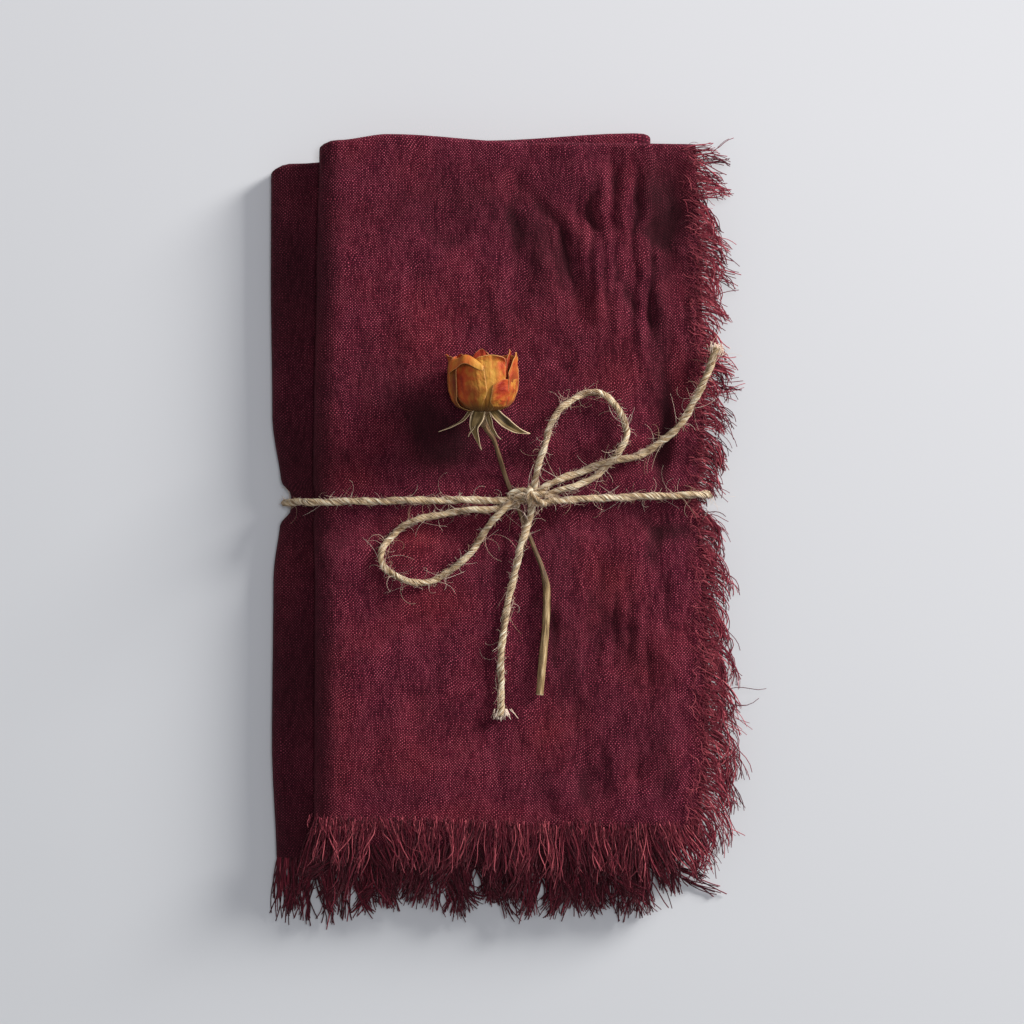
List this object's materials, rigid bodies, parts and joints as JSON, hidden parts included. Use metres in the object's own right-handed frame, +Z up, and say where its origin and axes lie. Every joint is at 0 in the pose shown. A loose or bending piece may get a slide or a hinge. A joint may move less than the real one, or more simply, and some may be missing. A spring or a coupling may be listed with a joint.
{
  "type": "folded cloth napkin with twine tie and dried rosebud",
  "caption": "Fringed linen napkin folded to a slim bundle, tied round the middle with jute twine in a bow that holds a dried rosebud.",
  "frame": {"origin": "on the surface it lies on, at the middle of the bundle's outline without the tie", "axes": "+Y along the bundle towards its folded top edge, +X towards the fringed side edge, +Z up"},
  "size_m": [0.1384, 0.2262, 0.0345],
  "materials": {
    "linen": "burgundy plain-woven linen, matt, slubby",
    "linen_fringe": "the same yarn, frayed loose",
    "jute": "natural two-ply jute twine, hairy",
    "petals": "dried rose petals, ochre with rust-red edges",
    "sepals": "dried leaf, dull olive beige",
    "stem": "dried brown stem"
  },
  "bodies": {
    "root": {"napkin_cloth": "linen", "fringe_hem_front": "linen_fringe", "fringe_hem_back": "linen_fringe", "fringe_side_outer": "linen_fringe", "fringe_side_inner": "linen_fringe", "twine_band": "jute", "twine_loop_right": "jute", "twine_loop_left": "jute", "twine_tail_right": "jute", "twine_tail_down": "jute", "twine_knot": "jute", "rosebud": "petals", "sepals": "sepals", "rose_stem": "stem"}
  },
  "joints": []
}
